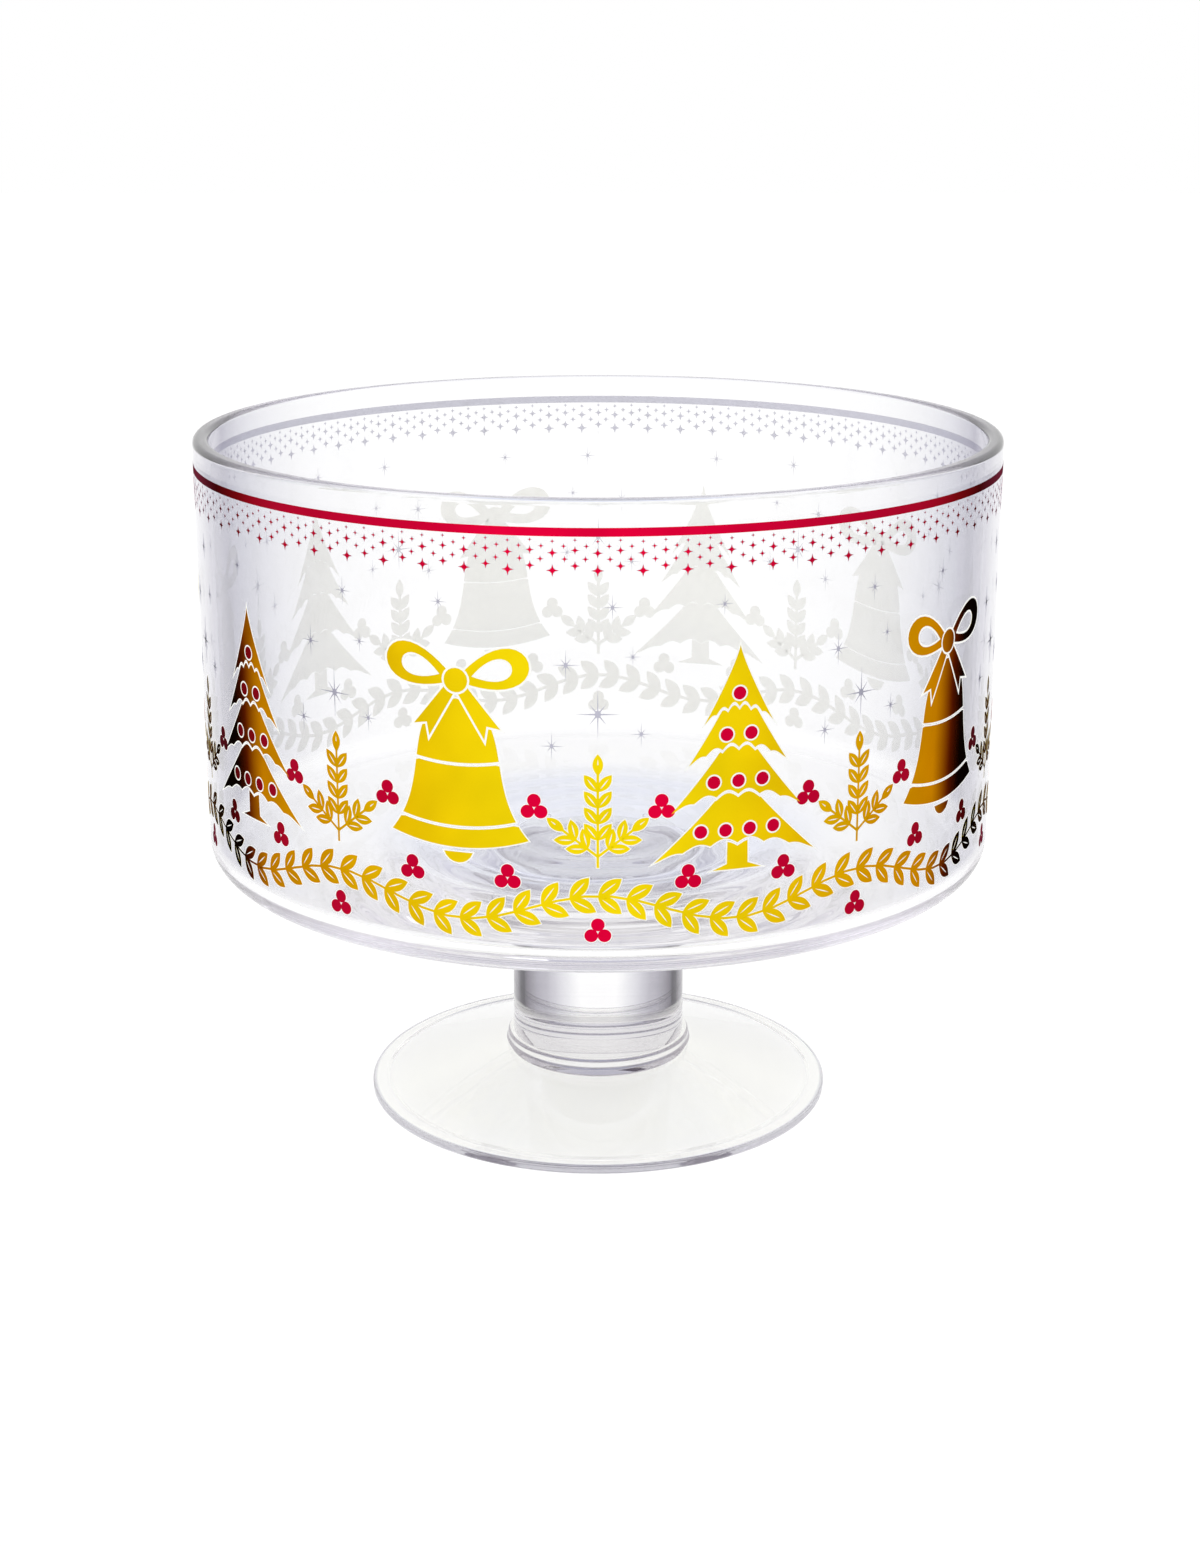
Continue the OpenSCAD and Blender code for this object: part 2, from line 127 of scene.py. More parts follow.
def pressed_glass(name, edge_shade_tones, wave, zone=no_zone, edge_from=0, ripple=0):
    """Soda-lime glass, pressed in a mould and fire-polished. The eye sees it clear, with a painted
    shade on its edges that darkens where the surface turns away from the view, a faint lavender
    tint in its depth, and low waves. zone is the radii where a painted shade starts and is full,
    and its colour. ripple is the height of the rings that the press leaves in the zone, and the
    painted edge shade pales below height edge_from."""
    glass, output = new_material(name)
    place = add_node(glass, "ShaderNodeTexCoord")
    waves = add_node(glass, "ShaderNodeTexNoise", inputs={"Scale": 1 / wave_l, "Detail": 1.5},
                     links={"Vector": (place, "Object")})
    bump = add_node(glass, "ShaderNodeBump", inputs={"Strength": wave, "Distance": wave_h},
                    links={"Height": (waves, "Fac")})
    facing = add_node(glass, "ShaderNodeLayerWeight", inputs={"Blend": 0.5})
    side = add_node(glass, "ShaderNodeNewGeometry")
    outer = add_node(glass, "ShaderNodeMath", {"operation": "SUBTRACT"}, {0: 1},
                     {1: (side, "Backfacing")})
    edge = add_node(glass, "ShaderNodeMath", {"operation": "MULTIPLY"},
                    links={0: (facing, "Facing"), 1: (outer, 0)})
    # Painted shade: this ramp darkens the glass's colour where the surface turns away from the view.
    tint = add_node(glass, "ShaderNodeValToRGB", links={"Fac": (edge, 0)})
    set_tones(tint, edge_shade_tones)
    height = add_node(glass, "ShaderNodeSeparateXYZ", links={"Vector": (place, "Object")})
    upper = add_node(glass, "ShaderNodeMapRange",
                     inputs={"From Min": edge_from - fade_below, "From Max": edge_from + fade_above,
                             "To Min": pale_edge_share, "To Max": 1},
                     links={"Value": (height, "Z")})
    edge_shade_by_height = add_node(glass, "ShaderNodeMix", {"data_type": "RGBA"}, {6: (1, 1, 1, 1)},
                         {0: (upper, "Result"), 7: (tint, "Color")})
    flat_place = add_node(glass, "ShaderNodeVectorMath", {"operation": "MULTIPLY"},
                          {1: (1, 1, 0)}, {0: (place, "Object")})
    from_axis = add_node(glass, "ShaderNodeVectorMath", {"operation": "LENGTH"},
                         links={0: (flat_place, "Vector")})
    in_zone = add_node(glass, "ShaderNodeMapRange", {"interpolation_type": "SMOOTHSTEP"},
                       {"From Min": zone[0], "From Max": zone[1]}, {"Value": (from_axis, "Value")})
    # Painted shade: zone's colour is laid over its radii, on the faces seen from outside.
    zone_seen = add_node(glass, "ShaderNodeMath", {"operation": "MULTIPLY"},
                         links={0: (in_zone, "Result"), 1: (outer, 0)})
    colour = add_node(glass, "ShaderNodeMix", {"data_type": "RGBA", "blend_type": "MULTIPLY"},
                      {7: linear(zone[2])}, {0: (zone_seen, 0), 6: (edge_shade_by_height, 2)})
    # The wave texture turns wave_node_turn radians for each unit of its scaled coordinates.
    rings = add_node(glass, "ShaderNodeTexWave",
                     {"wave_type": "RINGS", "rings_direction": "Z"},
                     {"Scale": math.tau / (wave_node_turn * ripple_pitch), "Detail": 1,
                      "Distortion": ripple_bend, "Detail Scale": ripple_bend_scale},
                     {"Vector": (place, "Object")})
    zone_rings = add_node(glass, "ShaderNodeMath", {"operation": "MULTIPLY"},
                          links={0: (rings, "Fac"), 1: (in_zone, "Result")})
    ripples = add_node(glass, "ShaderNodeBump", inputs={"Strength": 1, "Distance": ripple},
                       links={"Height": (zone_rings, 0), "Normal": (bump, "Normal")})
    body = add_node(glass, "ShaderNodeBsdfPrincipled",
                    inputs={"Roughness": 0, "IOR": glass_ior, "Transmission Weight": 1},
                    links={"Base Color": (colour, 2), "Normal": (ripples, "Normal")})
    depth = add_node(glass, "ShaderNodeVolumeAbsorption",
                     inputs={"Color": linear(GLASS_DEPTH), "Density": depth_density})
    ray = add_node(glass, "ShaderNodeLightPath")
    let_through = add_node(glass, "ShaderNodeBsdfTransparent", inputs={"Color": linear(GLASS_SHADE)})
    scattered = add_node(glass, "ShaderNodeMixShader",
                         links={0: (ray, "Is Diffuse Ray"), 1: (body, 0), 2: (let_through, 0)})
    lit = add_node(glass, "ShaderNodeMixShader",
                   links={0: (ray, "Is Shadow Ray"), 1: (scattered, 0), 2: (let_through, 0)})
    glass.node_tree.links.new(lit.outputs[0], output.inputs["Surface"])
    glass.node_tree.links.new(depth.outputs[0], output.inputs["Volume"])
    return glass


def fused_joint():
    """The same glass, fused hot to its neighbour. There is no surface there, so the eye sees
    nothing, and light passes straight on."""
    joint, output = new_material("fused_glass_joint")
    clear = add_node(joint, "ShaderNodeBsdfTransparent")
    depth = add_node(joint, "ShaderNodeVolumeAbsorption",
                     inputs={"Color": linear(GLASS_DEPTH), "Density": depth_density})
    joint.node_tree.links.new(clear.outputs[0], output.inputs["Surface"])
    joint.node_tree.links.new(depth.outputs[0], output.inputs["Volume"])
    return joint


def mark_joint(bm, height, radius):
    """Gives the second material to the faces of a joint, at a height and within a radius."""
    for face in bm.faces:
        middle = face.calc_center_median()
        if abs(middle.z - height) < joint_overlap / 4 and middle.xy.length < radius:
            face.material_index = 1
    return bm


def shown(name, bm, materials, nodes):
    """Makes a finished mesh an object that rides on the bowl and stands for its CAD nodes."""
    mesh = bpy.data.meshes.new(name)
    bm.to_mesh(mesh)
    bm.free()
    mesh.shade_smooth()
    mesh.set_sharp_from_angle(angle=crease_angle)
    for made in materials:
        mesh.materials.append(made)
    piece = bpy.data.objects.new(name, mesh)
    bpy.context.scene.collection.objects.link(piece)
    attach(piece, "root")
    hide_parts(*nodes)
    return piece


def turned(corners):
    """Spins a section round the axis. A corner is (radius, height, rounding radius), and the
    section runs from the axis round to the axis again. A support ring beside each corner keeps
    the long faces true when they are shaded smooth."""
    bm = bmesh.new()
    verts = [bm.verts.new((r, 0, z)) for r, z, rounding in corners]
    for a, b in zip(verts, verts[1:]):
        bm.edges.new((a, b))
    arcs = set()
    for i, (vert, (r, z, rounding)) in enumerate(zip(verts, corners)):
        if rounding:
            before = Vector(corners[i - 1][:2]) - Vector((r, z))
            after = Vector(corners[i + 1][:2]) - Vector((r, z))
            bend = math.pi - before.angle(after)
            segments = max(3, math.ceil(bend / arc_turn), math.ceil(rounding * bend / arc_step))
            arc = bmesh.ops.bevel(bm, geom=[vert], offset=rounding * math.tan(bend / 2),
                                  offset_type="OFFSET", segments=segments, profile=0.5,
                                  affect="VERTICES", material=-1)
            arcs.update(arc["edges"])
    for edge in [e for e in bm.edges if e not in arcs and e.calc_length() > long_side]:
        start, end, share = edge.verts[0], edge.verts[1], support_gap / edge.calc_length()
        rest = bmesh.utils.edge_split(edge, start, share)[0]
        far = max((edge, rest), key=lambda e: e.calc_length())
        bmesh.utils.edge_split(far, end, support_gap / far.calc_length())
    bmesh.ops.spin(bm, geom=bm.verts[:] + bm.edges[:], cent=(0, 0, 0), axis=(0, 0, 1),
                   angle=math.tau, steps=turn_steps, use_merge=True)
    bmesh.ops.remove_doubles(bm, verts=bm.verts[:], dist=weld_gap)
    bmesh.ops.recalc_face_normals(bm, faces=bm.faces[:])
    return bm


foot_border_r = foot_r - foot_border_w
stem_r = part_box("stem")[1].x
crease_w = 0.7 * MM
crease_depth = 0.25 * MM
crease_side_r = 0.3 * MM
crease_bed_r = 0.2 * MM
foot_round_r = 0.8 * MM
ring_round_r = 0.5 * MM
hollow_round_r = 3 * MM
rim_shade_w = 1.4 * MM
rim_shade_full_w = 0.6 * MM
cone_rise = (foot_h - collar_h - foot_edge_t) / (foot_border_r - collar_r)
foot_corners = [
    (0, foot_h, 0),
    (stem_r, foot_h, 0),
    (collar_r, foot_h, foot_round_r),
    (collar_r, foot_h - collar_h, foot_round_r),
    (foot_border_r - crease_w, foot_edge_t + crease_w * cone_rise, crease_side_r),
    (foot_border_r, foot_edge_t - crease_depth, crease_bed_r),
    (foot_border_r + crease_w, foot_edge_t, crease_side_r),
    (foot_r, foot_edge_t, foot_round_r),
    (foot_r, 0, foot_round_r),
    (foot_r - rest_ring_w, 0, ring_round_r),
    (foot_hollow_r, foot_hollow_h, hollow_round_r),
    (0, foot_hollow_h, 0),
]
# A thin grey ring of painted shade round the foot's rim.
foot_rim_shade = (foot_r - rim_shade_w, foot_r - rim_shade_full_w, FOOT_RIM_SHADE_HEX)
foot_glass = pressed_glass("pressed_clear_glass_foot", FOOT_EDGE_SHADE_TONES, foot_wave, foot_rim_shade)
fused = fused_joint()
foot_bm = mark_joint(turned(foot_corners), foot_h, stem_r)
shown("glass_foot", foot_bm, [foot_glass, fused], ["foot"])

# Stem

# The stem is a solid cylinder of the same glass, fused hot to the foot's collar and to the
# boss under the bowl. Its dark upright edges are a painted shade, darker where the glass turns
# away from the view, and paler low down.
STEM_EDGE_SHADE_TONES = [(0.09, "#ffffff"), (0.13, "#dadae0"), (0.16, "#c6c5ce"), (0.2, "#aaa8b4"),
                   (0.26, "#8c8996"), (0.33, "#7c7986"), (0.4, "#64616c"), (0.47, "#48444f"),
                   (0.55, "#100e14"), (0.63, "#121016"), (0.73, "#4c4852")]
stem_edge_from = 24.5 * MM
stem_wave = 0.03
stem_low, stem_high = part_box("stem")
stem_glass = pressed_glass("solid_clear_glass_stem", STEM_EDGE_SHADE_TONES, stem_wave,
                           edge_from=stem_edge_from)
stem_corners = [
    (0, stem_high.z + joint_overlap, 0),
    (stem_r, stem_high.z + joint_overlap, 0),
    (stem_r, stem_low.z - joint_overlap, 0),
    (0, stem_low.z - joint_overlap, 0),
]
stem_bm = mark_joint(turned(stem_corners), stem_high.z + joint_overlap, stem_r)
stem_bm = mark_joint(stem_bm, stem_low.z - joint_overlap, stem_r)
shown("glass_stem", stem_bm, [stem_glass, fused], ["stem"])

# Bowl

# The bowl is a straight-sided vessel of pressed clear glass with a fire-polished rim. Its floor
# is flat inside, and its underside falls in a gentle curve to the boss over the stem.
# Painted shade: the bowl's edges darken where the glass turns away from the view, and a blue-grey
# shade is painted over the middle of its floor.
BOWL_EDGE_SHADE_TONES = [(0.1, "#fdfdfd"), (0.3, "#f5f5f7"), (0.37, "#eeeef1"), (0.47, "#e0e0e6"),
                   (0.57, "#ccccd6"), (0.66, "#b4b3c0"), (0.75, "#9c9aaa"), (0.83, "#bcbac6"),
                   (1, "#c4c3ce")]
BOWL_CORE_SHADE_HEX = "#d4daf0"
bowl_core_shade = (70 * MM, 44 * MM, BOWL_CORE_SHADE_HEX)
bowl_ripple = 0.25 * MM
bowl_wave = 0.02
bowl_low, bowl_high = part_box("bowl")
bowl_r = bowl_high.x
rim_z = bowl_high.z
bowl_h = 114 * MM
wall_t = 4.2 * MM
floor_t = 4.2 * MM
base_round_r = 7 * MM
floor_round_r = 4 * MM
rim_round_r = 1.5 * MM
base_slope = math.radians(3.2)
boss_slope = math.radians(9)
boss_round_r = 18 * MM
arc_gap = 0.01 * MM
arc_fit = 0.999
wall_pale_h = 9 * MM
base_z = rim_z - bowl_h
inner_r = bowl_r - wall_t
base_edge_r = bowl_r - base_round_r
boss_edge_r = stem_r + boss_round_r * (1 - math.sin(boss_slope))
base_arc_r = (base_edge_r - boss_edge_r) / (math.sin(boss_slope) - math.sin(base_slope))
base_tangent = base_arc_r * math.tan((boss_slope - base_slope) / 2)
base_bend_r = base_edge_r - base_tangent * math.cos(base_slope)
base_bend_z = base_z - base_tangent * math.sin(base_slope)
boss_corner_z = base_bend_z - (base_bend_r - stem_r) * math.tan(boss_slope)
bowl_edge_from = base_z + wall_pale_h

# arc_gap and arc_fit keep the arcs of the underside a hair apart, so that each can be rounded.
bowl_corners = [
    (0, base_z + floor_t, 0),
    (inner_r, base_z + floor_t, floor_round_r),
    (inner_r, rim_z, rim_round_r),
    (bowl_r, rim_z, rim_round_r),
    (bowl_r, base_z, base_round_r),
    (base_edge_r - arc_gap, base_z, 0),
    (base_bend_r, base_bend_z, base_arc_r * arc_fit),
    (stem_r, boss_corner_z, boss_round_r),
    (stem_r, bowl_low.z, 0),
    (0, bowl_low.z, 0),
]
bowl_glass = pressed_glass("pressed_clear_glass_bowl", BOWL_EDGE_SHADE_TONES, bowl_wave, bowl_core_shade,
                           bowl_edge_from, bowl_ripple)
bowl_bm = mark_joint(turned(bowl_corners), bowl_low.z, stem_r)
shown("glass_bowl", bowl_bm, [bowl_glass, fused], ["bowl"])

# Rim band

# A red line runs round the wall under the rim: a ceramic enamel, printed as a transfer on a
# pale underprint and fired on. Every other figure on the wall is laid the same way. From here
# on, sizes of flat drawings and of their layers are in mm, and what is times MM is in metres.
# The ramp holds the enamel's crimson, with a painted highlight in front, painted shade where the wall
# turns away from the view, and a painted sheen at the very edge.
RED_AND_SHADE_TONES = [(0.05, "#de0238"), (0.09, "#cc0232"), (0.17, "#ba042e"), (0.41, "#a40a28"),
             (0.55, "#70080e"), (0.68, "#3c0608"), (0.85, "#642030")]
WHITE_UNDER_HEX = "#fafaf5"
GREY_UNDER_HEX = "#cdccd8"
band_low, band_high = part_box("red_rim_band")
underprint_lift = 0.015
underprint_t = 0.03
foil_lift = 0.035
foil_t = 0.03
cut_step = 2.5
cut_gap = 0.0001
wall_mm = bowl_r / MM
grain = 0.35 * MM
print_patch = 2 * MM
tone_patch = 12 * MM
noise_span = {"From Min": 0.3, "From Max": 0.7}
patch_low, patch_high = 0.93, 1.06
under_low = 0.96
gloss_low, gloss_high = 0.8, 1.25
enamel_rough = 0.35
underprint_rough = 0.6


def fired_layer(name, tones, metal, rough):
    """Enamel or metal, printed as a transfer and fired. The eye sees its colour with a painted
    highlight, shade and reflection that change it as the surface turns away from the view, faint
    patches, and a gloss broken by the printed grain, which is drawn coarser than the real one so
    that it shows."""
    layer, output = new_material(name)
    place = add_node(layer, "ShaderNodeTexCoord")
    # Painted highlight, shade and reflection: the colour follows a ramp by how far the surface turns
    # away from the view.
    facing = add_node(layer, "ShaderNodeLayerWeight", inputs={"Blend": 0.5})
    tone = add_node(layer, "ShaderNodeValToRGB", links={"Fac": (facing, "Facing")})
    set_tones(tone, tones)
    specks = add_node(layer, "ShaderNodeTexNoise", inputs={"Scale": 1 / grain, "Detail": 2},
                      links={"Vector": (place, "Object")})
    patches = add_node(layer, "ShaderNodeTexNoise", inputs={"Scale": 1 / tone_patch, "Detail": 1},
                       links={"Vector": (place, "Object")})
    shade = add_node(layer, "ShaderNodeMapRange",
                     inputs={**noise_span, "To Min": patch_low, "To Max": patch_high},
                     links={"Value": (patches, "Fac")})
    colour = add_node(layer, "ShaderNodeMix", {"data_type": "RGBA", "blend_type": "MULTIPLY"},
                      {"Factor": 1}, {6: (tone, "Color"), 7: (shade, "Result")})
    gloss = add_node(layer, "ShaderNodeMapRange",
                     inputs={**noise_span, "To Min": rough * gloss_low,
                             "To Max": rough * gloss_high},
                     links={"Value": (specks, "Fac")})
    body = add_node(layer, "ShaderNodeBsdfPrincipled",
                    inputs={"Metallic": metal, "Specular IOR Level": 0,
                            "Specular Tint": (0, 0, 0, 1)},
                    links={"Base Color": (colour, 2), "Roughness": (gloss, "Result")})
    layer.node_tree.links.new(body.outputs[0], output.inputs["Surface"])
    return layer


def matt_underprint(name, hex_code):
    """Matt ceramic enamel, printed first and fired under the colours. It is a pale line round
    each figure, and the only layer that is seen from inside the bowl."""
    layer, output = new_material(name)
    place = add_node(layer, "ShaderNodeTexCoord")
    patches = add_node(layer, "ShaderNodeTexNoise", inputs={"Scale": 1 / print_patch, "Detail": 2},
                       links={"Vector": (place, "Object")})
    shade = add_node(layer, "ShaderNodeMapRange",
                     inputs={**noise_span, "To Min": under_low, "To Max": 1},
                     links={"Value": (patches, "Fac")})
    colour = add_node(layer, "ShaderNodeMix", {"data_type": "RGBA", "blend_type": "MULTIPLY"},
                      {"Factor": 1, 6: linear(hex_code)}, {7: (shade, "Result")})
    body = add_node(layer, "ShaderNodeBsdfPrincipled", inputs={"Roughness": underprint_rough},
                    links={"Base Color": (colour, 2)})
    layer.node_tree.links.new(body.outputs[0], output.inputs["Surface"])
    return layer


def cut_shape(drawings, spread=0):
    """Fills flat drawings in mm, as a plotter cuts them from a transfer sheet. A drawing is an
    outline and the holes in it. Spread widens the whole, and shuts holes too narrow for it."""
    bm = bmesh.new()
    for outlines in drawings:
        curve = bpy.data.curves.new("cut", "CURVE")
        curve.dimensions = "2D"
        curve.fill_mode = "BOTH"
        curve.offset = spread
        for i, points in enumerate(outlines):
            sides = list(zip(points, points[1:] + points[:1]))
            area = sum(x0 * y1 - x1 * y0 for (x0, y0), (x1, y1) in sides) / 2
            if i and 2 * abs(area) < spread * sum(math.dist(a, b) for a, b in sides):
                continue
            if (area < 0) != (i > 0):
                points = points[::-1]
            line = curve.splines.new("POLY")
            line.points.add(len(points) - 1)
            for point, (x, y) in zip(line.points, points):
                point.co = (x, y, 0, 1)
            line.use_cyclic_u = True
        holder = bpy.data.objects.new("cut", curve)
        bm.from_mesh(holder.to_mesh())
        holder.to_mesh_clear()
        bpy.data.objects.remove(holder)
        bpy.data.curves.remove(curve)
    left = min(v.co.x for v in bm.verts)
    right = max(v.co.x for v in bm.verts)
    for i in range(1, math.ceil((right - left) / cut_step)):
        bmesh.ops.bisect_plane(bm, geom=bm.verts[:] + bm.edges[:] + bm.faces[:], dist=cut_gap,
                               plane_co=(left + i * cut_step, 0, 0), plane_no=(1, 0, 0))
    bmesh.ops.recalc_face_normals(bm, faces=bm.faces[:])
    bm.normal_update()
    return bm


def laid(bm, drawings, places, spread, lift, thickness):
    """Lays flat drawings round the wall. A place is a turn from the front in degrees and a height
    in metres, and lift is how far over the wall the layer's inner face lies, in mm."""
    sheet = cut_shape(drawings, spread)
    bmesh.ops.solidify(sheet, geom=sheet.faces[:], thickness=thickness)
    low = min(v.co.z for v in sheet.verts)
    flat = bpy.data.meshes.new("sheet")
    sheet.to_mesh(flat)
    sheet.free()
    for turn, height in places:
        start = len(bm.verts)
        bm.from_mesh(flat)
        bm.verts.ensure_lookup_table()
        for vert in bm.verts[start:]:
            angle = math.radians(turn) + vert.co.x / wall_mm
            radius = (wall_mm + lift + vert.co.z - low) * MM
            vert.co = (radius * math.sin(angle), -radius * math.cos(angle), height + vert.co.y * MM)
    bpy.data.meshes.remove(flat)


# Off-white lies under gold and berries, and lilac grey under the band, its border and silver.
white_underprint = matt_underprint("matt_off_white_underprint", WHITE_UNDER_HEX)
grey_underprint = matt_underprint("matt_lilac_grey_underprint", GREY_UNDER_HEX)


def transfer(name, sets, materials, node_name):
    """Puts transfers on the wall: a foil or enamel, on an underprint that shows round it as a
    pale line. materials are the two layers' own. A set is (drawings, places, width of the pale
    line, level), and may end with wider drawings for the underprint. A higher level lies over
    a lower one."""
    under, over = bmesh.new(), bmesh.new()
    for drawings, places, halo, level, *wider in sets:
        below, spread = (wider[0], 0) if wider else (drawings, halo)
        laid(under, below, places, spread, underprint_lift + level * foil_t, underprint_t)
        laid(over, drawings, places, 0, foil_lift + level * foil_t, foil_t)
    for piece_name, bm, cover in zip((name, node_name + "_underprint"), (over, under), materials):
        bmesh.ops.recalc_face_normals(bm, faces=bm.faces[:])
        shown(piece_name, bm, [cover], [node_name])


def sleeve(low, high, inner, thickness):
    """Turns a thin band round the wall. inner is its inner radius, in metres."""
    bm = bmesh.new()
    corners = [(inner, low), (inner + thickness, low), (inner + thickness, high), (inner, high)]
    verts = [bm.verts.new((r, 0, z)) for r, z in corners]
    for a, b in zip(verts, verts[1:] + verts[:1]):
        bm.edges.new((a, b))
    bmesh.ops.spin(bm, geom=bm.verts[:] + bm.edges[:], cent=(0, 0, 0), axis=(0, 0, 1),
                   angle=math.tau, steps=turn_steps, use_merge=True)
    bmesh.ops.recalc_face_normals(bm, faces=bm.faces[:])
    return bm


# Red ceramic enamel: smooth and crimson. It is a little brighter in front as a painted
# highlight, and wine-dark towards the sides as a painted shade, with a painted sheen at the
# very edge.
red_enamel = fired_layer("fired_red_enamel", RED_AND_SHADE_TONES, 0, enamel_rough)
under_band = sleeve(band_low.z, band_high.z, bowl_r + underprint_lift * MM, underprint_t * MM)
shown("red_rim_band_underprint", under_band, [grey_underprint], ["red_rim_band"])
red_band = sleeve(band_low.z, band_high.z, bowl_r + foil_lift * MM, foil_t * MM)
shown("red_band_enamel", red_band, [red_enamel], ["red_rim_band"])

# Star border

# Small red enamel stars hang under the band in a repeating group, printed and fired with it.
# The largest are at the foot of the border, and they thin out to specks near the band.
border_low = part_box("red_star_border")[0]
border_pitch = 10.2
border_star = 2.7
border_count = round(math.tau * wall_mm / border_pitch)
border_foot_z = border_low.z + border_star / 2 * MM
border_h = band_low.z - border_foot_z
border_core = 0.42
border_halo = 0.12

# The stars of a group: share of the pitch across, share of the border's height, share of the
# largest star's size.
border_group = [(0, 0, 1), (0.5, 0.14, 0.75), (0, 0.52, 0.8), (0.27, 0.34, 0.5), (0.73, 0.34, 0.5),
                (0.5, 0.6, 0.65), (0.25, 0.72, 0.42), (0.75, 0.72, 0.42), (0, 0.86, 0.32),
                (0.5, 0.9, 0.28)]


def star(size, points, core, halo=0, side=1, width=1):
    """Outline of a sparkle: a round core, as a share of the half size, with thin points. Every
    other point has the share side of the full length, and halo widens the whole."""
    outline = []
    for i in range(4 * points):
        tip = size / 2 * (1 if i % 8 == 0 else side) + 2 * halo
        reach = size / 2 * core + halo if i % 4 else tip
        angle = i * math.pi / 2 / points
        outline.append((width * reach * math.sin(angle), reach * math.cos(angle)))
    return outline


border_sets = []
for across, up, share in border_group:
    ring = [((i + across) * 360 / border_count, border_foot_z + up * border_h)
            for i in range(border_count)]
    small = share * border_star
    border_sets.append(([[star(small, 4, border_core)]], ring, 0, 0,
                        [[star(small, 4, border_core, border_halo)]]))
transfer("red_border_star_enamel", border_sets, (red_enamel, grey_underprint),
         "red_star_border")

# Fir trees

# Five fir trees of fired gold, each of four rows of boughs with a hem of hanging tips, on a
# short trunk. Round holes are left in the gold for the baubles.
# The ramp holds the gold's yellow and a painted reflection that darkens it towards the sides.
GOLD_AND_SHADE_TONES = [(0.04, "#f0d60a"), (0.14, "#e6c206"), (0.24, "#d8a604"), (0.33, "#cf9200"),
              (0.51, "#ca8802"), (0.58, "#6e3a06"), (0.63, "#2e1a0c"), (0.74, "#20160c"),
              (0.84, "#7a5218"), (0.95, "#b88a34")]
gold_rough = 0.35
tree_low, tree_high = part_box("gold_fir_trees")
tree_count = 5
figure_step = 360 / (2 * tree_count)
tree_h = (tree_high.z - tree_low.z) / MM
tree_w = 40
gap = 0.8
gold_halo = 0.3
bough_feet = [0.12, 0.34, 0.55, 0.73]
bough_widths = [1, 0.8, 0.6, 0.42]
bough_droop = 0.07
bough_tip = 0.025
bough_reach = 0.34
bough_curve = 1.2
bough_tips = 6
hem_steps = 8
side_steps = 60
bauble_r = 0.029 * tree_h
bauble_lift = 0.06
bauble_step = 0.15
trunk_w = 0.13
trunk_foot_w = 0.3


def hem_height(row, x):
    """Height of a row's scalloped hem at x."""
    s = x / (tree_w * bough_widths[row] / 2)
    scallop = abs(math.sin(math.pi * bough_tips * (s + 1) / 2))
    return tree_h * (bough_feet[row] - bough_droop * s * s + bough_tip * scallop * (1 - s * s))


def hem_line(row, reach, drop):
    """Points along a row's hem from -reach to reach."""
    half = tree_w * bough_widths[row] / 2
    count = bough_tips * hem_steps
    xs = [half * (2 * i / count - 1) for i in range(count + 1)]
    return [(x, hem_height(row, x) - drop) for x in xs if abs(x) <= reach]


def bough_outline(row):
    """Outline of one row of boughs, up to the gap under the next row."""
    half = tree_w * bough_widths[row] / 2
    low = tree_h * (bough_feet[row] - bough_droop)
    high = min(tree_h, tree_h * (bough_feet[row] + bough_reach))
    side = []
    for i in range(1, side_steps):
        t = i / side_steps
        x, y = half * (1 - t) ** bough_curve, low + (high - low) * t
        if row + 1 < len(bough_feet) and y > hem_height(row + 1, x) - gap:
            break
        side.append((x, y))
    if row + 1 < len(bough_feet):
        top = hem_line(row + 1, side[-1][0], gap)[::-1]
    else:
        top = [(0, high)]
    return hem_line(row, half, 0) + side + top + [(-x, y) for x, y in side[::-1]]


def disc(x, y, r, steps=20):
    """Outline of a circle."""
    return [(x + r * math.cos(math.tau * i / steps), y + r * math.sin(math.tau * i / steps))
            for i in range(steps)]


baubles = []
tree_drawings = []
for row in range(len(bough_feet)):
    count = len(bough_feet) - row
    row_baubles = [((i - (count - 1) / 2) * bauble_step * tree_w,
                    tree_h * (bough_feet[row] + bauble_lift)) for i in range(count)]
    holes = [disc(x, y, bauble_r + gap / 2) for x, y in row_baubles]
    tree_drawings.append([bough_outline(row)] + holes)
    baubles += row_baubles
trunk_half = trunk_w * tree_w / 2
trunk_foot = trunk_foot_w * tree_w / 2
trunk_top = hem_line(0, trunk_half, gap)[::-1]
tree_drawings.append([[(-trunk_foot, 0), (trunk_foot, 0), (trunk_half, tree_h * bough_tip)]
                      + trunk_top + [(-trunk_half, tree_h * bough_tip)]])
tree_places = [((2 * i + 0.5) * figure_step, tree_low.z) for i in range(tree_count)]

# Satin gold: a soft metal gleam. A painted reflection colours it yellow in front, then amber,
# a dark mirror where the wall turns away from the view, and paler again at the very edge.
gold_layers = (fired_layer("fired_satin_gold", GOLD_AND_SHADE_TONES, 1, gold_rough), white_underprint)
transfer("gold_tree_foil", [(tree_drawings, tree_places, gold_halo, 0)], gold_layers,
         "gold_fir_trees")

# Bells

